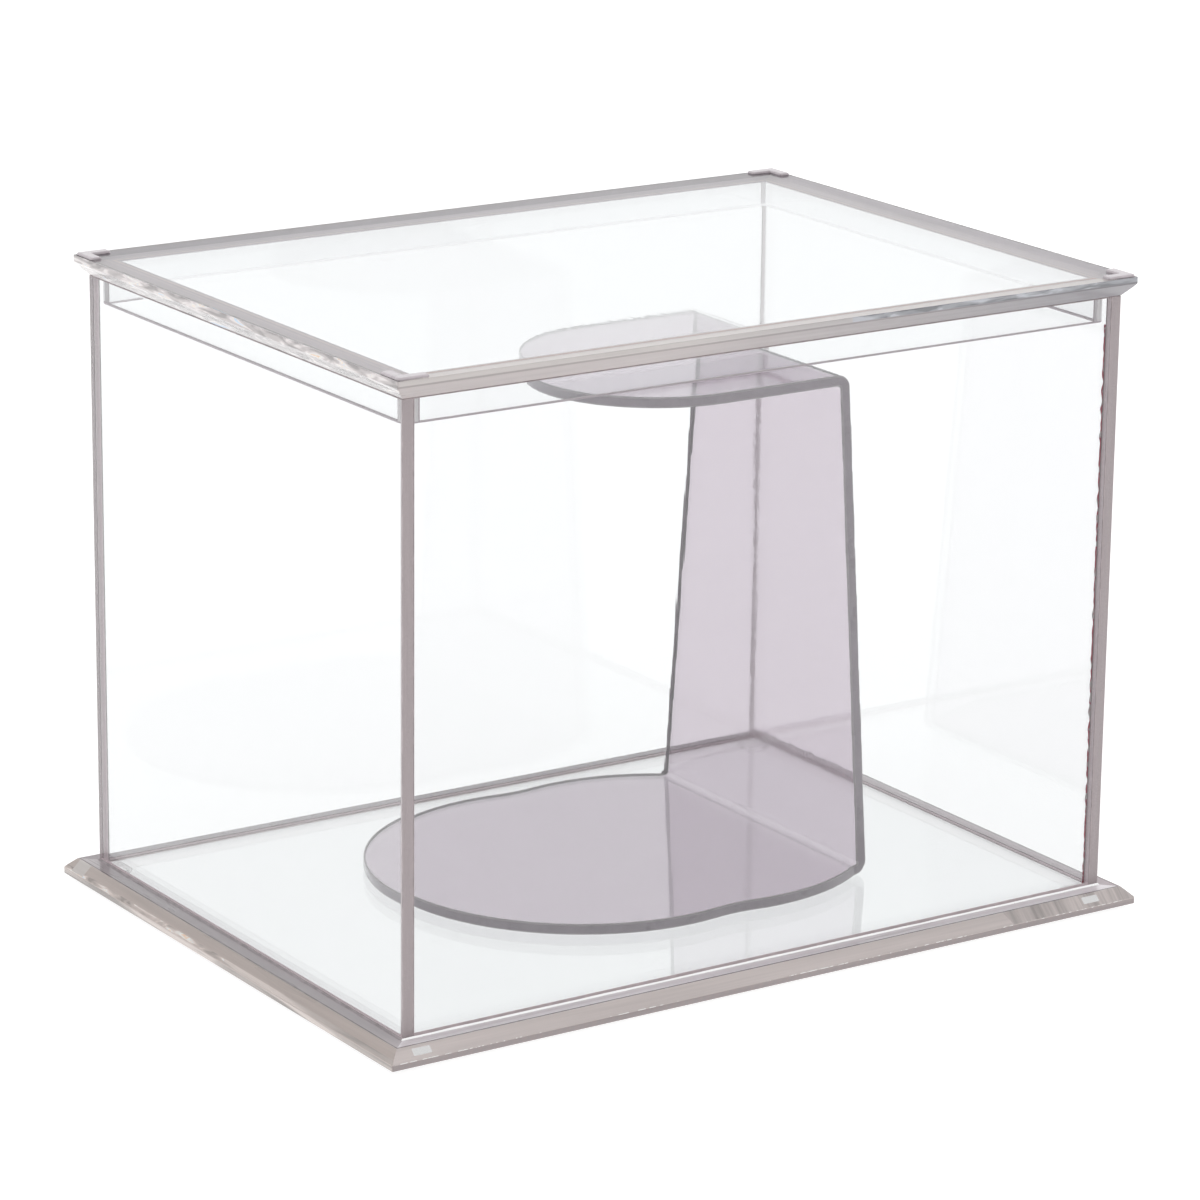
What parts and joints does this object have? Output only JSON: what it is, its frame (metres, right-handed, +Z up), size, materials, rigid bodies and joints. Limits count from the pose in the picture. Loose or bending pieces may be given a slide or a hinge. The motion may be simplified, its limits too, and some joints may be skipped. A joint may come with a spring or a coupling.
{
  "type": "helmet display case",
  "caption": "Clear display case for a full-size helmet: bevelled base with glued panels, a lift-off lid with a centring collar, and a heat-bent helmet stand inside.",
  "frame": {"origin": "centre of the case's plan, on the surface its four feet stand on", "axes": "+X along the long side, towards the stand's upright; -Y is the front panel; +Z up"},
  "size_m": [0.368, 0.273, 0.2746],
  "materials": {
    "panel_acrylic": "clear polished acrylic sheet",
    "base_acrylic": "clear polished acrylic, thick and bevelled",
    "lid_acrylic": "clear polished acrylic, thick and bevelled",
    "stand_acrylic": "smoky lilac-grey transparent acrylic, heat-bent, polished edges"
  },
  "bodies": {
    "case": {"base_plate": "base_acrylic", "base_foot_front_left": "base_acrylic", "base_foot_front_right": "base_acrylic", "base_foot_back_left": "base_acrylic", "base_foot_back_right": "base_acrylic", "front_panel": "panel_acrylic", "back_panel": "panel_acrylic", "left_panel": "panel_acrylic", "right_panel": "panel_acrylic"},
    "lid": {"lid_plate": "lid_acrylic", "lid_collar_front": "lid_acrylic", "lid_collar_back": "lid_acrylic", "lid_collar_left": "lid_acrylic", "lid_collar_right": "lid_acrylic", "lid_lug_front_left": "lid_acrylic", "lid_lug_front_right": "lid_acrylic", "lid_lug_back_left": "lid_acrylic", "lid_lug_back_right": "lid_acrylic"},
    "stand": {"helmet_stand": "stand_acrylic"}
  },
  "joints": [
    {"name": "lid_lift", "type": "slide", "parent": "case", "child": "lid", "axis": [0, 0, 1], "range_m": [0, 0.12]},
    {"name": "stand_lift", "type": "slide", "parent": "case", "child": "stand", "axis": [0, 0, 1], "range_m": [0, 0.035]}
  ]
}
